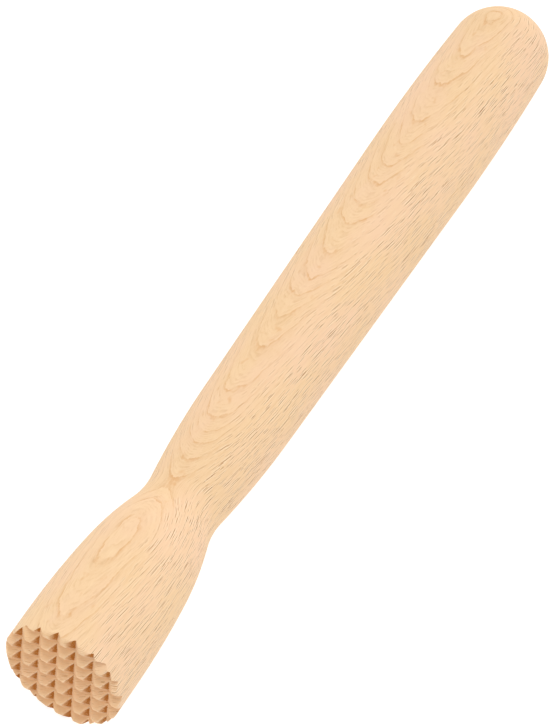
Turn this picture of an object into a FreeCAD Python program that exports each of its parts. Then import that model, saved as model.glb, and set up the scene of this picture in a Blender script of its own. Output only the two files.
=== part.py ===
"""Meat mallet, turned from one piece of beech.

The mallet lies on its side.  Its turning axis runs along Y, the toothed striking
face looks towards -Y and the rounded end of the handle towards +Y.  The origin is
under the middle of its length, on the surface that the head rests on.  Millimetres.
"""
import FreeCAD, Part
import Sketcher
import math
import os

from FreeCAD import Vector

# name, value, what it is (distances along the axis count from the striking face)
DRIVING_DIMENSIONS = [
    ("overall_length", 250.0, "striking face to rounded end"),
    ("head_diameter", 31.0, "striking face and the straight wall behind it"),
    ("head_straight", 10.4, "length of the straight wall behind the face"),
    ("crown_radius", 260.0, "long arc that starts the head's taper"),
    ("shoulder_radius", 90.0, "arc from the crown down into the neck"),
    ("neck_radius", 24.0, "hollow of the neck"),
    ("neck_diameter", 20.1, "thinnest place"),
    ("neck_station", 59.3, "thinnest place, from the face"),
    ("rise_radius", 283.0, "arc from the neck up to the grip"),
    ("grip_taper", 1.1, "degrees that the grip widens by, on each side"),
    ("grip_diameter", 28.7, "thickest place of the handle"),
    ("swell_radius", 812.0, "long arc over the thickest place"),
    ("swell_from_end", 48.4, "thickest place, from the rounded end"),
    ("rim_round", 1.2, "rounded edge round the striking face"),
    ("groove_pitch", 4.67, "from one groove to the next, both ways"),
    ("upright_groove_depth", 2.0, "depth of the grooves that run along Z"),
    ("level_groove_depth", 2.5, "depth of the grooves that run along X"),
    ("groove_angle", 82.0, "degrees between the two sides of a groove"),
    ("grid_shift_across", 0.45, "middle of the grooves from the axis, along X"),
    ("grid_shift_up", -0.3, "middle of the grooves from the axis, along Z"),
]

# as many grooves as whole pitches fit across the head
GROOVE_COUNT = "floor(Dimensions.head_diameter / Dimensions.groove_pitch)"
GRID_WIDTH = f"({GROOVE_COUNT} - 1) * Dimensions.groove_pitch"

# how far the cutter's outline stands out in front of the face
CUTTER_OVERRUN = 1.0

# an edge this near to the plane of the face lies on it
ON_FACE = 1e-6

# ends and centre of a sketch line or arc, as the sketcher numbers them
START, END, CENTRE = 1, 2, 3
# the sketch's own origin point and upright axis, as the sketcher numbers them
ORIGIN, UPRIGHT_AXIS = -1, -2


def make_sheet(doc):
    """Write the driving dimensions to a spreadsheet and give each one its alias."""
    sheet = doc.addObject("Spreadsheet::Sheet", "Dimensions")
    for row, (alias, value, meaning) in enumerate(DRIVING_DIMENSIONS, start=1):
        sheet.set(f"A{row}", alias)
        sheet.set(f"B{row}", str(value))
        sheet.set(f"C{row}", meaning)
        sheet.setAlias(f"B{row}", alias)
    doc.recompute()
    return sheet


def origin_feature(body, role):
    """Return the body's own origin plane or axis that has this role."""
    for feature in body.Origin.OriginFeatures:
        if feature.Role == role:
            return feature
    raise RuntimeError(f"{body.Label} has no {role}")


def sketch_on(body, plane_role, name):
    """Add a sketch to the body, lying flat on one of its origin planes."""
    sketch = body.newObject("Sketcher::SketchObject", name)
    sketch.AttachmentSupport = [(origin_feature(body, plane_role), "")]
    sketch.MapMode = "FlatFace"
    return sketch


def line(x0, y0, x1, y1):
    return Part.LineSegment(Vector(x0, y0, 0), Vector(x1, y1, 0))


def arc(centre, radius, first_angle, last_angle):
    """Anticlockwise arc of a circle in the sketch's plane."""
    circle = Part.Circle(Vector(centre[0], centre[1], 0), Vector(0, 0, 1), radius)
    return Part.ArcOfCircle(circle, first_angle, last_angle)


def constrain(sketch, *constraint):
    return sketch.addConstraint(Sketcher.Constraint(*constraint))


def dimension(sketch, name, expression, *constraint):
    """Add a named dimension and bind it to the driving dimensions."""
    index = constrain(sketch, *constraint)
    sketch.renameConstraint(index, name)
    sketch.setExpression(f"Constraints.{name}", expression)


def bearing(start, end):
    """Angle of the direction from one point to another."""
    return math.atan2(end[1] - start[1], end[0] - start[0])


def circles_meet(first, first_radius, second, second_radius):
    """The two points where two circles cross."""
    gap = math.dist(first, second)
    along = (first_radius ** 2 - second_radius ** 2 + gap ** 2) / (2 * gap)
    across = math.sqrt(first_radius ** 2 - along ** 2)
    turn = bearing(first, second)
    points = []
    for side in (-across, across):
        x = first[0] + along * math.cos(turn) - side * math.sin(turn)
        y = first[1] + along * math.sin(turn) + side * math.cos(turn)
        points.append((x, y))
    return points


def draw_half_outline(body, sheet):
    """Half of the mallet's outline: x is the radius, y runs along the axis.

    Behind the straight wall of the head every arc touches the next one smoothly:
    crown, shoulder, hollow neck, rise, straight taper of the grip, swell, round end.
    """
    head = sheet.head_diameter / 2
    length = sheet.overall_length
    taper = math.radians(sheet.grip_taper)

    crown = (head - sheet.crown_radius, sheet.head_straight)
    neck = (sheet.neck_diameter / 2 + sheet.neck_radius, sheet.neck_station)
    swell = (sheet.grip_diameter / 2 - sheet.swell_radius, length - sheet.swell_from_end)

    # The shoulder's arc lies inside the crown's and outside the neck's.
    shoulder = max(circles_meet(crown, sheet.crown_radius - sheet.shoulder_radius,
                                neck, sheet.neck_radius + sheet.shoulder_radius))

    # The taper line touches the swell; the rise touches that line and the neck.
    outward = (math.cos(taper), -math.sin(taper))
    along = (math.sin(taper), math.cos(taper))
    taper_end = (swell[0] + sheet.swell_radius * outward[0],
                 swell[1] + sheet.swell_radius * outward[1])
    inner = (taper_end[0] - sheet.rise_radius * outward[0] - neck[0],
             taper_end[1] - sheet.rise_radius * outward[1] - neck[1])
    reach = sheet.neck_radius + sheet.rise_radius
    half = inner[0] * along[0] + inner[1] * along[1]
    slide = -half + math.sqrt(half ** 2 - inner[0] ** 2 - inner[1] ** 2 + reach ** 2)
    rise = (neck[0] + inner[0] + slide * along[0], neck[1] + inner[1] + slide * along[1])
    taper_start = (rise[0] + sheet.rise_radius * outward[0],
                   rise[1] + sheet.rise_radius * outward[1])

    # The round end is centred on the axis and touches the swell's arc from inside.
    behind_swell = length - swell[1]
    end_radius = ((sheet.swell_radius ** 2 - swell[0] ** 2 - behind_swell ** 2)
                  / (2 * (sheet.swell_radius - behind_swell)))
    dome = (0.0, length - end_radius)

    sketch = sketch_on(body, "XY_Plane", "half_outline")
    axis_line = sketch.addGeometry(line(0, length, 0, 0))
    face_line = sketch.addGeometry(line(0, 0, head, 0))
    wall_line = sketch.addGeometry(line(head, 0, head, sheet.head_straight))
    crown_arc = sketch.addGeometry(
        arc(crown, sheet.crown_radius, 0, bearing(crown, shoulder)))
    shoulder_arc = sketch.addGeometry(
        arc(shoulder, sheet.shoulder_radius, bearing(crown, shoulder), bearing(shoulder, neck)))
    neck_arc = sketch.addGeometry(
        arc(neck, sheet.neck_radius, bearing(neck, rise), bearing(shoulder, neck) + math.pi))
    rise_arc = sketch.addGeometry(
        arc(rise, sheet.rise_radius, bearing(rise, neck), -taper))
    taper_line = sketch.addGeometry(line(*taper_start, *taper_end))
    swell_arc = sketch.addGeometry(
        arc(swell, sheet.swell_radius, -taper, bearing(swell, dome)))
    dome_arc = sketch.addGeometry(
        arc(dome, end_radius, bearing(swell, dome), math.pi / 2))

    constrain(sketch, "Coincident", axis_line, END, ORIGIN, START)
    constrain(sketch, "Vertical", axis_line)
    constrain(sketch, "Coincident", face_line, START, axis_line, END)
    constrain(sketch, "Horizontal", face_line)
    constrain(sketch, "Coincident", wall_line, START, face_line, END)
    constrain(sketch, "Vertical", wall_line)
    constrain(sketch, "Tangent", wall_line, END, crown_arc, START)
    constrain(sketch, "Tangent", crown_arc, END, shoulder_arc, START)
    constrain(sketch, "Tangent", shoulder_arc, END, neck_arc, END)
    constrain(sketch, "Tangent", neck_arc, START, rise_arc, START)
    constrain(sketch, "Tangent", rise_arc, END, taper_line, START)
    constrain(sketch, "Tangent", taper_line, END, swell_arc, START)
    constrain(sketch, "Tangent", swell_arc, END, dome_arc, START)
    constrain(sketch, "Coincident", dome_arc, END, axis_line, START)
    constrain(sketch, "PointOnObject", dome_arc, CENTRE, UPRIGHT_AXIS)

    dimension(sketch, "mallet_length", "Dimensions.overall_length",
              "DistanceY", axis_line, END, axis_line, START, length)
    dimension(sketch, "face_half", "Dimensions.head_diameter / 2",
              "DistanceX", face_line, START, face_line, END, head)
    dimension(sketch, "wall_length", "Dimensions.head_straight",
              "DistanceY", wall_line, START, wall_line, END, sheet.head_straight)
    for name, curve in (("crown", crown_arc), ("shoulder", shoulder_arc), ("neck", neck_arc),
                        ("rise", rise_arc), ("swell", swell_arc)):
        dimension(sketch, f"{name}_curve", f"Dimensions.{name}_radius",
                  "Radius", curve, getattr(sheet, f"{name}_radius"))
    dimension(sketch, "neck_out", "Dimensions.neck_diameter / 2 + Dimensions.neck_radius",
              "DistanceX", ORIGIN, START, neck_arc, CENTRE, neck[0])
    dimension(sketch, "neck_along", "Dimensions.neck_station",
              "DistanceY", ORIGIN, START, neck_arc, CENTRE, neck[1])
    dimension(sketch, "taper_lean", "90 deg - Dimensions.grip_taper * 1 deg",
              "Angle", taper_line, math.pi / 2 - taper)
    dimension(sketch, "swell_in", "Dimensions.swell_radius - Dimensions.grip_diameter / 2",
              "DistanceX", swell_arc, CENTRE, ORIGIN, START, -swell[0])
    dimension(sketch, "swell_along", "Dimensions.overall_length - Dimensions.swell_from_end",
              "DistanceY", ORIGIN, START, swell_arc, CENTRE, swell[1])
    return sketch


def turn_blank(body, outline):
    """Turn the outline about the axis."""
    blank = body.newObject("PartDesign::Revolution", "turned_blank")
    blank.Profile = outline
    blank.ReferenceAxis = (outline, ["V_Axis"])
    blank.Angle = 360.0
    outline.Visibility = False
    return blank


def round_rim(body, blank):
    """Round the edge of the striking face."""
    rims = [f"Edge{number}" for number, edge in enumerate(blank.Shape.Edges, start=1)
            if all(abs(vertex.Y) < ON_FACE for vertex in edge.Vertexes)
            and isinstance(edge.Curve, Part.Circle)]
    fillet = body.newObject("PartDesign::Fillet", "rounded_rim")
    fillet.Base = (blank, rims)
    fillet.setExpression("Radius", "Dimensions.rim_round")
    return fillet


def draw_groove(body, sheet, name, plane_role, shift):
    """Outline of the first groove of a set, a V with its point inside the face.

    place(side, deep) puts a point of the V on the sketch: side is the distance from
    the axis across the grooves, and deep is the distance behind the face.
    """
    upright = plane_role == "XY_Plane"
    across, along = ("DistanceX", "DistanceY") if upright else ("DistanceY", "DistanceX")

    def place(side, deep):
        return (side, deep) if upright else (deep, side)

    count = math.floor(sheet.head_diameter / sheet.groove_pitch)
    first = getattr(sheet, shift) - (count - 1) * sheet.groove_pitch / 2
    depth = getattr(sheet, f"{name}_depth")
    half_mouth = (depth + CUTTER_OVERRUN) * math.tan(math.radians(sheet.groove_angle / 2))
    point = place(first, depth)
    low = place(first - half_mouth, -CUTTER_OVERRUN)
    high = place(first + half_mouth, -CUTTER_OVERRUN)

    sketch = sketch_on(body, plane_role, f"{name}_outline")
    mouth = sketch.addGeometry(line(*low, *high))
    high_side = sketch.addGeometry(line(*high, *point))
    low_side = sketch.addGeometry(line(*point, *low))
    constrain(sketch, "Coincident", mouth, END, high_side, START)
    constrain(sketch, "Coincident", high_side, END, low_side, START)
    constrain(sketch, "Coincident", low_side, END, mouth, START)
    constrain(sketch, "Horizontal" if upright else "Vertical", mouth)
    constrain(sketch, "Equal", high_side, low_side)
    dimension(sketch, "depth", f"Dimensions.{name}_depth",
              along, ORIGIN, START, high_side, END, depth)
    dimension(sketch, "first", f"{GRID_WIDTH} / 2 - Dimensions.{shift}",
              across, high_side, END, ORIGIN, START, -first)
    dimension(sketch, "half_mouth",
              f"(Dimensions.{name}_depth + {CUTTER_OVERRUN}) * tan(Dimensions.groove_angle / 2 * 1 deg)",
              across, low_side, END, low_side, START, half_mouth)
    constrain(sketch, along, mouth, START, ORIGIN, START, CUTTER_OVERRUN)
    return sketch


def cut_grooves(body, sheet, name, plane_role, axis_role, shift):
    """Cut one set of parallel grooves right across the striking face."""
    before = body.Tip.Shape.Volume
    outline = draw_groove(body, sheet, name, plane_role, shift)
    cut = body.newObject("PartDesign::Pocket", f"{name}_cut")
    cut.Profile = outline
    cut.SideType = "Symmetric"
    cut.Type = "Length"
    cut.setExpression("Length", "2 * Dimensions.head_diameter")
    outline.Visibility = False
    body.Document.recompute()
    pattern = body.newObject("PartDesign::LinearPattern", f"{name}_row")
    pattern.Originals = [cut]
    pattern.Direction = (origin_feature(body, axis_role), [""])
    pattern.setExpression("Length", GRID_WIDTH)
    pattern.setExpression("Occurrences", GROOVE_COUNT)
    body.Tip = pattern
    body.Document.recompute()
    if not pattern.Shape.Volume < cut.Shape.Volume < before:
        raise RuntimeError(f"{name} cut nothing")


def make_mallet_body(doc, sheet):
    """The whole mallet: head, neck and handle are one turned piece."""
    body = doc.addObject("PartDesign::Body", "mallet_body")
    body.Label = "mallet_body"
    blank = turn_blank(body, draw_half_outline(body, sheet))
    doc.recompute()
    body.Tip = round_rim(body, blank)
    doc.recompute()
    cut_grooves(body, sheet, "upright_groove", "XY_Plane", "X_Axis", "grid_shift_across")
    cut_grooves(body, sheet, "level_groove", "YZ_Plane", "Z_Axis", "grid_shift_up")
    body.setExpression("Placement.Base.y", "-Dimensions.overall_length / 2")
    body.setExpression(
        "Placement.Base.z", "max(Dimensions.head_diameter; Dimensions.grip_diameter) / 2")
    return body


def check(doc, bodies):
    """Stop if anything failed to compute, or a piece is missing or broken."""
    for item in doc.Objects:
        if "Invalid" in item.State or "Error" in item.State:
            raise RuntimeError(f"{item.Label} did not compute: {item.State}")
    for body in bodies:
        if body.Shape.isNull() or not body.Shape.isValid() or len(body.Shape.Solids) != 1:
            raise RuntimeError(f"{body.Label} is not one valid solid")


def main():
    doc = FreeCAD.newDocument("meat_mallet")
    sheet = make_sheet(doc)
    bodies = [make_mallet_body(doc, sheet)]
    doc.recompute()
    check(doc, bodies)
    os.makedirs("parts", exist_ok=True)
    for body in bodies:
        body.Shape.exportStep(f"parts/{body.Label}.step")
        box = body.Shape.BoundBox
        print(f"{body.Label}: {body.Shape.Volume:.0f} mm3, "
              f"{box.XLength:.2f} x {box.YLength:.2f} x {box.ZLength:.2f} mm")


main()
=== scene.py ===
"""Looks of the beech meat mallet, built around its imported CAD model.  Metres.

The mallet lies along Y with its toothed face towards -Y, as in the CAD model.
"""
import math

import bpy
from mathutils import Matrix, Vector


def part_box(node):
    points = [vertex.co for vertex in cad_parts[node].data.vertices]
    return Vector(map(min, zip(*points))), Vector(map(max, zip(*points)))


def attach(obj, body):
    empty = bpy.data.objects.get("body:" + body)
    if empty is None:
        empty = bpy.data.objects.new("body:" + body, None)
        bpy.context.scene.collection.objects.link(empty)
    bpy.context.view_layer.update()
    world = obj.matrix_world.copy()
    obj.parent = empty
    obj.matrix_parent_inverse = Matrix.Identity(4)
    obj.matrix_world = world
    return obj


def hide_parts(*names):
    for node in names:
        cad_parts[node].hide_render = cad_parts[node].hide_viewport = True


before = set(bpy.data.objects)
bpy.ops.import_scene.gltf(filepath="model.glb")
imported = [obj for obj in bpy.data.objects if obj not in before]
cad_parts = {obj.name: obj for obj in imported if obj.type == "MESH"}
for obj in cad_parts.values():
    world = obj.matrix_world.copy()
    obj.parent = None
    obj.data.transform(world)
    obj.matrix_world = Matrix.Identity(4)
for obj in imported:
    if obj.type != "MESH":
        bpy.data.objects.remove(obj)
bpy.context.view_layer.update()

MM = 0.001

# ---- sizes of the turned body, as the CAD model has them ------------------------
HEAD_RADIUS = 15.5 * MM
HEAD_STRAIGHT = 10.4 * MM
CROWN_RADIUS = 260 * MM
SHOULDER_RADIUS = 90 * MM
NECK_HOLLOW = 24 * MM
NECK_RADIUS = 10.05 * MM
NECK_STATION = 59.3 * MM
RISE_RADIUS = 283 * MM
GRIP_TAPER = math.radians(1.1)
GRIP_RADIUS = 14.35 * MM
SWELL_RADIUS = 812 * MM
SWELL_FROM_END = 48.4 * MM
RIM_ROUND = 1.2 * MM

GROOVE_PITCH = 4.67 * MM
UPRIGHT_DEPTH = 2.0 * MM
LEVEL_DEPTH = 2.5 * MM
GROOVE_ANGLE = math.radians(82)
GROOVE_COUNT = math.floor(2 * HEAD_RADIUS / GROOVE_PITCH)
SHIFT_ACROSS = 0.45 * MM
SHIFT_UP = -0.3 * MM

low_corner, high_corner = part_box("mallet_body")
LENGTH = high_corner.y - low_corner.y
FACE_PLACE = Vector((0.0, low_corner.y, (low_corner.z + high_corner.z) / 2))

# ---- the wood ------------------------------------------------------------------
# The rings are nearly flat sheets, turned about the mallet's axis by the tilt and climbing
# along it by the slope.  The spacings are millimetres.
RING_TILT = math.radians(14.4)
RING_SLOPE = 0.08
RING_SPACING = 0.9
GROWTH_SPACING = 0.14
HAIR_SPACING = 0.325
PALE_BEECH = (0.895, 0.63, 0.375)
DEEP_BEECH = (0.76, 0.485, 0.255)
ROSY_BEECH = (0.90, 0.605, 0.42)
AMBER_BEECH = (0.74, 0.40, 0.17)
# painted highlight: beside the pores and along one edge of each tooth
HIGHLIGHT_BEECH = (0.97, 0.79, 0.57)
FLECK_BEECH = (0.40, 0.165, 0.045)
SAWN_BEECH = (0.89, 0.545, 0.285)
# painted shade on one flank of each upright groove and along the level grooves
GROOVE_SHADE_BEECH = (0.42, 0.14, 0.012)

# Pores in millimetres, and the share of their cells that holds one.
LONG_PORES = {"cell": (1.6, 6.5, 0.7), "half_length": 3.2, "half_depth": 0.075}
SHORT_PORES = {"cell": (1.2, 4.0, 0.45), "half_length": 2.0, "half_depth": 0.058}
PORES_KEPT = 0.95

# ---- how finely the body is drawn ----------------------------------------------
COLUMNS = 720
BODY_COLUMN_STEP = 4
# has to divide COLUMNS
WIDEST_FACE_STEP = 16
FACE_ROW = 0.22 * MM
NOTCH_ROW = 0.2 * MM
NOTCH_END = 3.4 * MM
SAME_POINT = 0.002 * MM
CREASE_ANGLE = math.radians(50)

# ---- grain of the wear on the teeth, in cells to a metre -------------------------
WANDER_GRAIN = 220.0
CHIP_GRAIN = 260.0
TIP_GRAIN = 420.0
FIBRE_GRAIN = 900.0


class Number:
    """A number on a node tree.  Arithmetic on it adds Math nodes to the tree."""

    def __init__(self, nodes, socket):
        self.nodes = nodes
        self.socket = socket

    def math(self, operation, *others):
        inputs = dict(enumerate((self, *others)))
        return self.nodes.number("ShaderNodeMath", {"operation": operation}, inputs)

    def swapped(self, operation, other):
        return self.nodes.number("ShaderNodeMath", {"operation": operation}, {0: other, 1: self})

    def __add__(self, other):
        return self.math("ADD", other)

    __radd__ = __add__

    def __sub__(self, other):
        return self.math("SUBTRACT", other)

    def __rsub__(self, other):
        return self.swapped("SUBTRACT", other)

    def __mul__(self, other):
        return self.math("MULTIPLY", other)

    __rmul__ = __mul__

    def __truediv__(self, other):
        return self.math("DIVIDE", other)

    def __rtruediv__(self, other):
        return self.swapped("DIVIDE", other)

    def __pow__(self, other):
        return self.math("POWER", other)

    def __rpow__(self, other):
        return self.swapped("POWER", other)

    def __gt__(self, other):
        return self.math("GREATER_THAN", other)

    def __lt__(self, other):
        return self.math("LESS_THAN", other)

    def __abs__(self):
        return self.math("ABSOLUTE")

    def clamped(self, low=0.0, high=1.0):
        return self.math("MAXIMUM", low).math("MINIMUM", high)

    def ramp(self, start, end):
        """0 before start, 1 after end and an even slope between them."""
        return ((self - start) / (end - start)).clamped()


class Nodes:
    """A node tree as it is being built."""

    def __init__(self, tree):
        self.tree = tree

    def add(self, kind, settings=None, inputs=None):
        """Add a node, make its settings, then give its sockets values or links."""
        node = self.tree.nodes.new(kind)
        for name, value in (settings or {}).items():
            setattr(node, name, value)
        for key, value in (inputs or {}).items():
            socket = node.inputs[key]
            if isinstance(value, Number):
                self.tree.links.new(value.socket, socket)
            elif isinstance(value, bpy.types.NodeSocket):
                self.tree.links.new(value, socket)
            else:
                socket.default_value = value
        return node

    def number(self, kind, settings=None, inputs=None, output=0):
        """Add a node and return one of its outputs as a number."""
        return Number(self, self.add(kind, settings, inputs).outputs[output])

    def vector(self, x, y, z):
        return self.add("ShaderNodeCombineXYZ", {}, {0: x, 1: y, 2: z}).outputs[0]

    def parts(self, vector):
        """The x, y and z of a vector socket, as numbers."""
        node = self.add("ShaderNodeSeparateXYZ", {}, {0: vector})
        return [Number(self, socket) for socket in node.outputs]

    def noise(self, vector, scale=1.0, detail=0.0, roughness=0.5):
        """Soft noise between 0 and 1, about 0.5 on average."""
        return self.number("ShaderNodeTexNoise", {"noise_dimensions": "3D"}, {
            "Vector": vector, "Scale": scale, "Detail": detail, "Roughness": roughness})


# ---- the outline -----------------------------------------------------------------

def bearing(start, end):
    return math.atan2(end[1] - start[1], end[0] - start[0])


def circles_meet(first, first_radius, second, second_radius):
    """The two points where two circles cross."""
    gap = math.dist(first, second)
    along = (first_radius ** 2 - second_radius ** 2 + gap ** 2) / (2 * gap)
    across = math.sqrt(first_radius ** 2 - along ** 2)
    turn = bearing(first, second)
    return [(first[0] + along * math.cos(turn) - side * math.sin(turn),
             first[1] + along * math.sin(turn) + side * math.cos(turn))
            for side in (-across, across)]


def arc_points(centre, radius, first_angle, last_angle, steps):
    """Points along an arc, without its first one."""
    angles = [first_angle + (last_angle - first_angle) * step / steps
              for step in range(1, steps + 1)]
    return [(centre[0] + radius * math.cos(angle), centre[1] + radius * math.sin(angle))
            for angle in angles]


def line_points(start, end, steps):
    """Points along a straight line, without its first one."""
    return [(start[0] + (end[0] - start[0]) * step / steps,
             start[1] + (end[1] - start[1]) * step / steps)
            for step in range(1, steps + 1)]


def body_outline():
    """Radius and station, from the middle of the face round to the tip of the handle.

    It is the CAD model's outline: face, rim, straight wall, crown, shoulder, hollow
    neck, rise, taper of the grip, swell and round end, each touching the next smoothly.
    """
    crown = (HEAD_RADIUS - CROWN_RADIUS, HEAD_STRAIGHT)
    neck = (NECK_RADIUS + NECK_HOLLOW, NECK_STATION)
    swell = (GRIP_RADIUS - SWELL_RADIUS, LENGTH - SWELL_FROM_END)
    shoulder = max(circles_meet(crown, CROWN_RADIUS - SHOULDER_RADIUS,
                                neck, NECK_HOLLOW + SHOULDER_RADIUS))

    outward = Vector((math.cos(GRIP_TAPER), -math.sin(GRIP_TAPER)))
    along = Vector((math.sin(GRIP_TAPER), math.cos(GRIP_TAPER)))
    taper_end = Vector(swell) + SWELL_RADIUS * outward
    inner = taper_end - RISE_RADIUS * outward - Vector(neck)
    half = inner.dot(along)
    reach = NECK_HOLLOW + RISE_RADIUS
    slide = -half + math.sqrt(half ** 2 - inner.length_squared + reach ** 2)
    rise = Vector(neck) + inner + slide * along
    taper_start = rise + RISE_RADIUS * outward

    behind_swell = LENGTH - swell[1]
    end_radius = ((SWELL_RADIUS ** 2 - swell[0] ** 2 - behind_swell ** 2)
                  / (2 * (SWELL_RADIUS - behind_swell)))
    dome = (0.0, LENGTH - end_radius)

    face_edge = (HEAD_RADIUS - RIM_ROUND, 0.0)
    rim = (HEAD_RADIUS - RIM_ROUND, RIM_ROUND)
    points = [(0.0, 0.0)]
    points += line_points(points[-1], face_edge, round(face_edge[0] / FACE_ROW))
    points += arc_points(rim, RIM_ROUND, -math.pi / 2, 0, 8)
    notch_rows = round((NOTCH_END - RIM_ROUND) / NOTCH_ROW)
    points += line_points(points[-1], (HEAD_RADIUS, NOTCH_END), notch_rows)
    points += line_points(points[-1], (HEAD_RADIUS, HEAD_STRAIGHT), 6)
    points += arc_points(crown, CROWN_RADIUS, 0, bearing(crown, shoulder), 14)
    points += arc_points(shoulder, SHOULDER_RADIUS,
                         bearing(crown, shoulder), bearing(shoulder, neck), 12)
    points += arc_points(neck, NECK_HOLLOW,
                         bearing(shoulder, neck) + math.pi, bearing(neck, rise), 12)
    points += arc_points(rise, RISE_RADIUS, bearing(rise, neck), -GRIP_TAPER, 16)
    points += line_points(tuple(taper_start), tuple(taper_end), 30)
    points += arc_points(swell, SWELL_RADIUS, -GRIP_TAPER, bearing(swell, dome), 22)
    points += arc_points(dome, end_radius, bearing(swell, dome), math.pi / 2, 26)
    return points


def outline_object(points):
    """The outline as a chain of vertices: x is the radius and y the station."""
    mesh = bpy.data.meshes.new("outline")
    edges = [(index, index + 1) for index in range(len(points) - 1)]
    mesh.from_pydata([(radius, station, 0.0) for radius, station in points], edges, [])
    outline = bpy.data.objects.new("outline", mesh)
    bpy.context.scene.collection.objects.link(outline)
    return outline


# ---- the body as geometry nodes --------------------------------------------------

def make_interface(tree, inputs):
    """Give a geometry tree its named inputs and return each one's identifier."""
    tree.interface.new_socket("Geometry", in_out="INPUT", socket_type="NodeSocketGeometry")
    tree.interface.new_socket("Geometry", in_out="OUTPUT", socket_type="NodeSocketGeometry")
    kinds = {int: "NodeSocketInt", float: "NodeSocketFloat"}
    identifiers = {}
    for name, value in inputs.items():
        kind = kinds.get(type(value), "NodeSocketMaterial")
        socket = tree.interface.new_socket(name, in_out="INPUT", socket_type=kind)
        identifiers[name] = socket.identifier
    return identifiers


def groove_set(nodes, given, across, along, depth, shift, seed):
    """How deep one set of parallel grooves cuts at a point, and how far aside it is."""
    pitch = given["Groove pitch"]
    last = given["Groove count"] - 1.0
    place = (across - shift) / pitch + last / 2.0
    groove = place.math("ROUND").math("MAXIMUM", 0.0).math("MINIMUM", last)
    own = nodes.add("ShaderNodeTexWhiteNoise", {"noise_dimensions": "1D"}, {"W": groove + seed})
    own_depth, own_place, _ = nodes.parts(own.outputs["Color"])
    line = nodes.vector(groove * 3.1 + seed, along * WANDER_GRAIN, 0.0)
    wander = nodes.noise(line, detail=4.0, roughness=0.65) - 0.5
    aside = (place - groove) * pitch + (own_place - 0.5) * given["Place jitter"]
    aside = aside + wander * given["Wander"]
    valley = given["Valley round"]
    rise = (aside * aside + valley * valley).math("SQRT") - valley
    here = depth * (1.0 - own_depth * given["Depth jitter"])
    return here - rise / given["Half angle"].math("TANGENT"), aside


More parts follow.
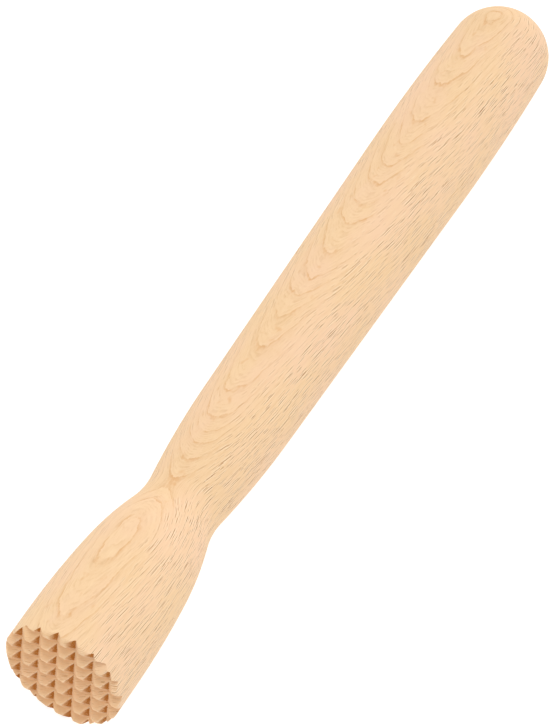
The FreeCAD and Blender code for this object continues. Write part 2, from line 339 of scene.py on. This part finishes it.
def lathe_tree(name, inputs):
    """Geometry nodes that turn an outline about Y and cut the toothed face."""
    tree = bpy.data.node_groups.new(name, "GeometryNodeTree")
    identifiers = make_interface(tree, inputs)
    nodes = Nodes(tree)
    source = nodes.add("NodeGroupInput")
    given = {label: Number(nodes, source.outputs[label]) for label in inputs}
    outline = source.outputs["Geometry"]

    size = nodes.number("GeometryNodeAttributeDomainSize", {"component": "MESH"},
                        {"Geometry": outline})
    columns = given["Columns"]
    grid = nodes.add("GeometryNodeMeshGrid", {}, {"Vertices X": columns + 1.0, "Vertices Y": size})
    index = nodes.number("GeometryNodeInputIndex")
    column = (index / size).math("FLOOR")
    row = index - column * size
    drawn = nodes.add("GeometryNodeSampleIndex", {"data_type": "FLOAT_VECTOR", "domain": "POINT"},
                      {"Geometry": outline, "Index": row,
                       "Value": nodes.add("GeometryNodeInputPosition").outputs[0]})
    radius, station, _ = nodes.parts(drawn.outputs[0])

    # Towards the middle of the face, and along the body, columns run together.
    on_face = row < given["Face rows"]
    head_radius = given["Head radius"]
    share = head_radius / radius.math("MAXIMUM", head_radius / WIDEST_FACE_STEP)
    face_step = 2.0 ** share.math("LOGARITHM", 2.0).math("FLOOR")
    past_notches = row > given["Notch rows"]
    body_step = 1.0 + past_notches * (given["Body column step"] - 1.0)
    step = on_face * face_step + (1.0 - on_face) * body_step
    column = (column / step).math("FLOOR") * step
    turn = column * (2 * math.pi) / columns
    across = radius * turn.math("SINE")
    up = radius * turn.math("COSINE")

    # The teeth are what the two sets of grooves leave standing.  Every depth below follows
    # from across and up alone, so that rows that are cut back to one depth fall together.
    upright, aside = groove_set(nodes, given, across, up, given["Upright depth"],
                                given["Shift across"], 1.0)
    level, rise = groove_set(nodes, given, up, across, given["Level depth"],
                             given["Shift up"], 31.0)
    edge = given["Edge round"]
    cut = upright.math("SMOOTH_MAX", level, edge)
    on_end = nodes.vector(across, up, 0.0)
    tips = nodes.noise(on_end, TIP_GRAIN, detail=3.0, roughness=0.6)
    worn = (tips - 0.35).math("MAXIMUM", 0.0) * given["Tip wear"]

    # The rim is worn back on its low side, more the nearer to the edge.
    low_side = ((across * 0.75 + up * 0.65) / head_radius).ramp(-0.1, -0.75)
    near_rim = ((radius - head_radius + given["Chip width"]) / given["Chip width"]).clamped()
    chips = nodes.noise(on_end, CHIP_GRAIN, detail=2.0)
    chipped = near_rim * near_rim * low_side * given["Chip depth"] * (0.6 + chips * 0.8)
    cut = cut.math("SMOOTH_MAX", worn, edge).math("SMOOTH_MAX", chipped, edge)

    fibres = nodes.noise(on_end, FIBRE_GRAIN, detail=2.0)
    rough = (fibres - 0.5) * given["Fibre roughness"] * (cut / given["Level depth"]).clamped()
    cut = (cut + rough).math("MAXIMUM", 0.0)
    place = nodes.vector(across, station.math("MAXIMUM", cut), up)

    moved = nodes.add("GeometryNodeSetPosition", {},
                      {"Geometry": grid.outputs["Mesh"], "Position": place})
    # What the beech needs to know: sawn face or not, how deep, which flank takes painted shade,
    # where the painted highlight and the level grooves' painted shade go.
    # The sawn colour fades towards the top of the face.
    gap = upright - level
    face = 1.0 - station.ramp(0.1 * MM, given["Rim round"])
    far_side = ((across * 0.5 + up * 0.85) / head_radius).ramp(0.45, 0.95)
    sawn = (face + cut.ramp(station, station + 0.1 * MM)).clamped()
    # Painted shade on one flank of each upright groove, more where the cut is deeper.
    shade_flank = gap.ramp(-0.02 * MM, 0.1 * MM) * (aside < 0.0) * cut.ramp(0.05 * MM, 0.3 * MM)
    # A painted highlight along the edge where the two cuts meet, on one side of each upright
    # groove.
    edge_highlight = (1.0 - abs(gap - 0.08 * MM) / (0.28 * MM)).clamped() * (aside < 0.0) * sawn
    # Painted shade along the bottoms of the level grooves.
    valley = (1.0 - abs(rise) / (0.45 * MM)).clamped() * gap.ramp(0.4 * MM, -0.1 * MM)
    marks = {"sawn": sawn * (1.0 - far_side * 0.6), "cut_depth": cut / given["Level depth"] * sawn,
             "flank_painted_shade": shade_flank * sawn, "edge_highlight": edge_highlight, "row_groove_shade": valley * sawn}
    stored = moved
    for name, value in marks.items():
        stored = nodes.add("GeometryNodeStoreNamedAttribute",
                           {"data_type": "FLOAT", "domain": "POINT"},
                           {"Geometry": stored.outputs[0], "Name": name, "Value": value})
    merged = nodes.add("GeometryNodeMergeByDistance", {},
                       {"Geometry": stored.outputs[0], "Distance": SAME_POINT})
    smooth = nodes.add("GeometryNodeSetShadeSmooth", {}, {"Geometry": merged.outputs[0]})
    crease = nodes.number("GeometryNodeInputMeshEdgeAngle") > CREASE_ANGLE
    creased = nodes.add("GeometryNodeSetShadeSmooth", {"domain": "EDGE"},
                        {"Geometry": smooth.outputs[0], "Selection": crease,
                         "Shade Smooth": False})
    real = nodes.add("GeometryNodeRealizeInstances", {}, {"Geometry": creased.outputs[0]})
    dressed = nodes.add("GeometryNodeSetMaterial", {},
                        {"Geometry": real.outputs[0], "Material": source.outputs["Material"]})
    nodes.add("NodeGroupOutput", {}, {"Geometry": dressed.outputs[0]})
    return tree, identifiers


def make_body(material):
    """The turned body with its toothed face, as one closed mesh in its place."""
    points = body_outline()
    outline = outline_object(points)
    face_rows = sum(station == 0.0 for _, station in points)
    notch_rows = sum(station <= NOTCH_END * 1.0001 for _, station in points)
    inputs = {
        "Columns": COLUMNS,
        "Body column step": BODY_COLUMN_STEP,
        "Face rows": face_rows,
        "Notch rows": notch_rows,
        "Rim round": RIM_ROUND,
        "Head radius": HEAD_RADIUS,
        "Groove pitch": GROOVE_PITCH,
        "Upright depth": UPRIGHT_DEPTH,
        "Level depth": LEVEL_DEPTH,
        "Groove count": GROOVE_COUNT,
        "Half angle": GROOVE_ANGLE / 2,
        "Shift across": SHIFT_ACROSS,
        "Shift up": SHIFT_UP,
        "Valley round": 0.08 * MM,
        "Edge round": 0.4 * MM,
        "Chip width": 3.0 * MM,
        "Chip depth": 2.3 * MM,
        "Tip wear": 0.9 * MM,
        "Place jitter": 0.3 * MM,
        "Depth jitter": 0.12,
        "Wander": 0.65 * MM,
        "Fibre roughness": 0.5 * MM,
        "Material": material,
    }
    tree, identifiers = lathe_tree("turned_and_toothed", inputs)
    modifier = outline.modifiers.new("lathe", "NODES")
    modifier.node_group = tree
    for name, value in inputs.items():
        modifier[identifiers[name]] = value
    graph = bpy.context.evaluated_depsgraph_get()
    mesh = bpy.data.meshes.new_from_object(outline.evaluated_get(graph))
    outline.modifiers.remove(modifier)
    bpy.data.objects.remove(outline)
    mesh.transform(Matrix.Translation(FACE_PLACE))
    mesh.name = "beech_body"
    body = bpy.data.objects.new("beech_body", mesh)
    bpy.context.scene.collection.objects.link(body)
    return body


# ---- the beech -------------------------------------------------------------------

class Wood:
    """Places in the wood, in millimetres from the middle of the face.

    along runs with the grain, out goes through the rings and across lies in them.
    depth is out as the rings see it, which climb along the mallet and sway a little.
    slant is near 1 where the surface lies flat along the rings, and 0 where it cuts
    square through them.
    """

    def __init__(self, nodes):
        turn = Matrix.Rotation(RING_TILT, 3, "Y")
        placed = nodes.add("ShaderNodeMapping", {"vector_type": "POINT"}, {
            "Vector": nodes.add("ShaderNodeTexCoord").outputs["Object"],
            "Location": -(turn @ FACE_PLACE) / MM,
            "Rotation": (0.0, RING_TILT, 0.0),
            "Scale": (1 / MM, 1 / MM, 1 / MM)}).outputs[0]
        self.nodes = nodes
        self.across, self.along, self.out = nodes.parts(placed)
        sway = self.noise((0.035, 0.018, 0.035), detail=1.0) - 0.5
        waver = self.noise((0.16, 0.06, 0.16), 7.0, detail=2.0) - 0.5
        self.depth = self.out + self.along * RING_SLOPE + sway * 2.8 + waver * 0.75
        flat = (self.across * self.across + self.out * self.out + 1.0).math("SQRT")
        self.slant = abs(self.out) / flat

    def noise(self, cells, shift=0.0, detail=0.0, roughness=0.5):
        """Soft noise with so many cells to a millimetre across, along and out."""
        place = self.nodes.vector(self.across * cells[0] + shift, self.along * cells[1],
                                  self.out * cells[2])
        return self.nodes.noise(place, detail=detail, roughness=roughness)


def tinted(nodes, colour, share, tint):
    """Mix a colour socket towards a tint by a share, which is kept between 0 and 1."""
    mix = nodes.add("ShaderNodeMix", {"data_type": "RGBA", "blend_type": "MIX"},
                    {0: share.clamped(), 6: colour, 7: (*tint, 1.0)})
    return mix.outputs[2]


def rings(nodes, wood):
    """Late wood, the dark line that ends a ring, and the fine growth lines between.

    A ring deepens slowly towards its thin darker line, then is pale again.  The lines
    show only where the surface lies nearly flat along the rings.
    """
    uneven = nodes.noise(nodes.vector(wood.depth * 0.45, 3.0, 0.0), detail=1.0) - 0.5
    shiver = wood.noise((0.7, 0.3, 0.7), 2.0, detail=3.0, roughness=0.6) - 0.5
    ring = (wood.depth / RING_SPACING + uneven * 1.5 + shiver * 0.4).math("FRACT")
    late = ring.ramp(0.5, 0.94) * (1.0 - ring.ramp(0.95, 1.0))

    line = ring.ramp(0.82, 0.95) * (1.0 - ring.ramp(0.95, 0.985))
    broken = wood.noise((0.5, 0.16, 0.5), 5.0, detail=3.0, roughness=0.6)
    line = line * broken.ramp(0.4, 0.6) * (0.1 + wood.slant.ramp(0.88, 0.995) * 1.1)

    growth = (wood.depth / GROWTH_SPACING + uneven * 2.0 + shiver * 0.9).math("FRACT")
    growth = growth.ramp(0.45, 0.9) * (1.0 - growth.ramp(0.9, 1.0))
    patchy = wood.noise((0.45, 0.22, 0.45), 13.0, detail=3.0, roughness=0.65)
    growth = growth * wood.slant.ramp(0.84, 0.97) * patchy.ramp(0.42, 0.62)
    return late, line, growth


def pores(nodes, wood, shift, cell, half_length, half_depth):
    """Thin spindles, one to a cell: how dark each is, and a painted highlight beside it.

    The cell is across, along and through the rings.  All sizes are millimetres.
    """
    place = nodes.vector(wood.across / cell[0] + shift, wood.along / cell[1],
                         wood.depth / cell[2])
    spots = nodes.add("ShaderNodeTexVoronoi", {"feature": "F1", "voronoi_dimensions": "3D"},
                      {"Vector": place, "Scale": 1.0, "Randomness": 1.0})
    offset = nodes.add("ShaderNodeVectorMath", {"operation": "SUBTRACT"},
                       {0: place, 1: spots.outputs["Position"]}).outputs[0]
    sideways, lengthways, inwards = (abs(part) for part in nodes.parts(offset))
    strength, longer, _ = nodes.parts(spots.outputs["Color"])

    # A spindle looks wider where the surface cuts it aslant.
    inwards = inwards * cell[2] / ((1.6 - wood.slant * 0.6) * half_depth)
    reach = lengthways * cell[1] / (half_length * (0.4 + longer * 0.8))
    present = strength.ramp(1.0 - PORES_KEPT, 1.0) ** 0.5
    inside = (1.0 - reach.ramp(0.5, 1.0)) * (1.0 - sideways.ramp(0.35, 0.5)) * present
    core = 1.0 - inwards.ramp(0.5, 1.0)
    # A painted highlight in a band beside each spindle.
    pore_highlight = inwards.ramp(0.9, 1.2) * (1.0 - inwards.ramp(1.8, 2.6))
    return core * inside, pore_highlight * inside


def ground_colour(nodes, wood, mottle):
    """The wood without its pores: deeper, rosy and amber places on pale beech."""
    late, line, growth = rings(nodes, wood)
    blotch = wood.noise((0.11, 0.035, 0.11), 3.0, detail=2.0)
    fibre = wood.noise((5.0, 0.45, 5.0), 9.0, detail=2.0, roughness=0.6)
    hair_place = nodes.vector(wood.across * 0.5, wood.along * 0.14, wood.depth / HAIR_SPACING)
    hair = nodes.noise(hair_place, detail=1.5, roughness=0.6)
    share = late * 0.26 + line * 0.3 + blotch * 0.22 + (mottle - 0.5) * 0.42
    share = share + (fibre - 0.5) * 0.35 + (hair - 0.4) * 0.42 + growth * 0.5
    colour = tinted(nodes, (*PALE_BEECH, 1.0), share, DEEP_BEECH)

    rosy = wood.noise((0.1, 0.04, 0.1), 31.0, detail=3.0).ramp(0.38, 0.68)
    colour = tinted(nodes, colour, rosy * 0.6, ROSY_BEECH)
    spots = wood.noise((0.5, 0.3, 0.5), 51.0, detail=1.0).ramp(0.66, 0.8)
    amber = line * 0.6 + spots * wood.slant.ramp(0.88, 0.98) * 0.45
    return tinted(nodes, colour, amber, AMBER_BEECH)


def sawn_colour(nodes, wood, colour):
    """Colour the teeth, which show end grain.

    They are deeper in colour, with painted shade on one flank of each upright groove,
    darker deeper down it, and along the level grooves, and a painted highlight on one tooth edge.
    """
    sawn, cut, shade_flank, edge_highlight, row_groove_shade = (
        nodes.number("ShaderNodeAttribute", {"attribute_name": name}, output=2)
        for name in ("sawn", "cut_depth", "flank_painted_shade", "edge_highlight", "row_groove_shade"))
    grit = wood.noise((2.6, 1.4, 2.6), 5.0, detail=3.0, roughness=0.7)
    strokes = wood.noise((0.6, 4.5, 4.5), 15.0, detail=2.0, roughness=0.6)
    share = sawn * (0.58 + (strokes - 0.5) * 1.1 + (grit - 0.5) * 0.9)
    colour = tinted(nodes, colour, share, SAWN_BEECH)

    # Painted shade: one flank of each upright groove, darker deeper in the groove, and along the
    # bottoms of the level grooves.
    painted_shade = shade_flank * (0.3 + cut.ramp(0.1, 0.65) * 0.95) * grit.ramp(0.22, 0.5)
    painted_shade = painted_shade + row_groove_shade * strokes.ramp(0.35, 0.65) * 0.6
    colour = tinted(nodes, colour, painted_shade, GROOVE_SHADE_BEECH)
    # The painted highlight along one edge of each tooth.
    return tinted(nodes, colour, edge_highlight * grit.ramp(0.42, 0.6) * 0.95, HIGHLIGHT_BEECH)


def beech():
    """Raw steamed beech: pale, with faint rings and short dark flecks along the grain."""
    material = bpy.data.materials.new("raw_beech")
    material.use_nodes = True
    material.node_tree.nodes.clear()
    nodes = Nodes(material.node_tree)
    wood = Wood(nodes)
    mottle = wood.noise((1.6, 0.5, 2.4), 11.0, detail=3.0, roughness=0.6)

    # Pores open most where the surface cuts through the rings, and crowd in places.
    long_pore, long_pore_highlight = pores(nodes, wood, 0.0, **LONG_PORES)
    short_pore, short_pore_highlight = pores(nodes, wood, 40.0, **SHORT_PORES)
    open_grain = 0.12 + (1.0 - wood.slant.ramp(0.72, 0.97)) * 0.88
    crowd = wood.noise((0.12, 0.05, 0.12), 21.0, detail=1.0).ramp(0.3, 0.6)
    plenty = open_grain * (0.7 + crowd * 0.3)

    colour = ground_colour(nodes, wood, mottle)
    # Painted highlights beside the pores.
    colour = tinted(nodes, colour, (long_pore_highlight * 0.9 + short_pore_highlight * 0.7) * plenty, HIGHLIGHT_BEECH)
    colour = tinted(nodes, colour, (long_pore * 0.9 + short_pore * 0.75) * plenty, FLECK_BEECH)
    colour = sawn_colour(nodes, wood, colour)

    height = mottle * 0.4 - long_pore * 0.9 - short_pore * 0.5
    bump = nodes.add("ShaderNodeBump", {}, {"Strength": 0.25, "Distance": 0.1 * MM,
                                            "Height": height})
    shader = nodes.add("ShaderNodeBsdfPrincipled", {}, {
        "Base Color": colour, "Roughness": 0.68 + (mottle - 0.5) * 0.15,
        "Normal": bump.outputs[0], "Specular IOR Level": 0.22})
    nodes.add("ShaderNodeOutputMaterial", {}, {"Surface": shader.outputs[0]})
    return material


# ---- stage, light and camera -----------------------------------------------------

VIEW_AZIMUTH = math.radians(22.13)
VIEW_ELEVATION = math.radians(50.03)
VIEW_ROLL = math.radians(7.26)
VIEW_DISTANCE = 994.4 * MM
VIEW_STATION = 112.4 * MM
VIEW_ASIDE = -1.99 * MM
LENS = 198.9
SENSOR = 36.0

# watts, the sky's strength overhead, and how much it gains away from the face and aside
KEY_POWER = 4.2
FACE_FILL_POWER = 0.8
SKY_STRENGTH = 0.805
SKY_GAIN_AWAY = 0.45
SKY_GAIN_ASIDE = 0.05
FLOOR_GLOW = 0.82
FLOOR_HALF_WIDTH = 3.0


def view_axes():
    """Right, up and back of the camera."""
    back = Vector((math.sin(VIEW_AZIMUTH) * math.cos(VIEW_ELEVATION),
                   -math.cos(VIEW_AZIMUTH) * math.cos(VIEW_ELEVATION),
                   math.sin(VIEW_ELEVATION)))
    right = Vector((0, 0, 1)).cross(back).normalized()
    up = back.cross(right)
    turned_right = math.cos(VIEW_ROLL) * right + math.sin(VIEW_ROLL) * up
    turned_up = math.cos(VIEW_ROLL) * up - math.sin(VIEW_ROLL) * right
    return turned_right, turned_up, back


def add_camera():
    right, up, back = view_axes()
    aim = FACE_PLACE + Vector((0, VIEW_STATION, 0)) + VIEW_ASIDE * right
    data = bpy.data.cameras.new("camera")
    data.lens = LENS
    data.sensor_width = SENSOR
    data.clip_start = 0.01
    data.clip_end = 20.0
    camera = bpy.data.objects.new("camera", data)
    turn = Matrix((right, up, back)).transposed().to_4x4()
    camera.matrix_world = Matrix.Translation(aim + VIEW_DISTANCE * back) @ turn
    bpy.context.scene.collection.objects.link(camera)
    bpy.context.scene.camera = camera


def area_light(name, toward, distance, size, power):
    """A square soft light that looks at the middle of the mallet."""
    middle = Vector((0.0, 0.0, HEAD_RADIUS))
    data = bpy.data.lights.new(name, "AREA")
    data.energy = power
    data.size = size
    light = bpy.data.objects.new(name, data)
    direction = toward.normalized()
    light.location = middle + distance * direction
    light.rotation_euler = direction.to_track_quat("Z", "Y").to_euler()
    bpy.context.scene.collection.objects.link(light)


def add_lights():
    right, up, back = view_axes()
    area_light("key", 0.9 * back + 0.55 * up - 0.02 * right, 1.2, 0.6, KEY_POWER)
    area_light("face_fill", Vector((-0.2, -1.0, 0.15)), 1.0, 0.5, FACE_FILL_POWER)
    world = bpy.data.worlds.new("studio")
    world.use_nodes = True
    world.node_tree.nodes.clear()
    nodes = Nodes(world.node_tree)
    aside, away, _ = nodes.parts(nodes.add("ShaderNodeTexCoord").outputs["Generated"])
    strength = SKY_STRENGTH + away * SKY_GAIN_AWAY + aside * SKY_GAIN_ASIDE
    sky = nodes.add("ShaderNodeBackground", {}, {"Color": (1.0, 1.0, 1.0, 1.0),
                                                 "Strength": strength})
    nodes.add("ShaderNodeOutputWorld", {}, {"Surface": sky.outputs[0]})
    bpy.context.scene.world = world


def add_floor():
    half = FLOOR_HALF_WIDTH
    mesh = bpy.data.meshes.new("floor")
    mesh.from_pydata([(-half, -half, 0), (half, -half, 0), (half, half, 0), (-half, half, 0)],
                     [], [(0, 1, 2, 3)])
    floor = bpy.data.objects.new("floor", mesh)
    bpy.context.scene.collection.objects.link(floor)
    material = bpy.data.materials.new("pale_floor")
    material.use_nodes = True
    material.node_tree.nodes.clear()
    nodes = Nodes(material.node_tree)
    shader = nodes.add("ShaderNodeBsdfPrincipled", {},
                       {"Base Color": (0.35, 0.35, 0.35, 1.0), "Roughness": 1.0,
                        "Specular IOR Level": 0.0,
                        "Emission Color": (1.0, 1.0, 1.0, 1.0), "Emission Strength": FLOOR_GLOW})
    nodes.add("ShaderNodeOutputMaterial", {}, {"Surface": shader.outputs[0]})
    mesh.materials.append(material)


# ---- putting it together ---------------------------------------------------------

body = make_body(beech())
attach(body, "root")
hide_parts("mallet_body")

add_floor()
add_lights()
add_camera()
bpy.context.scene.view_settings.view_transform = "Standard"
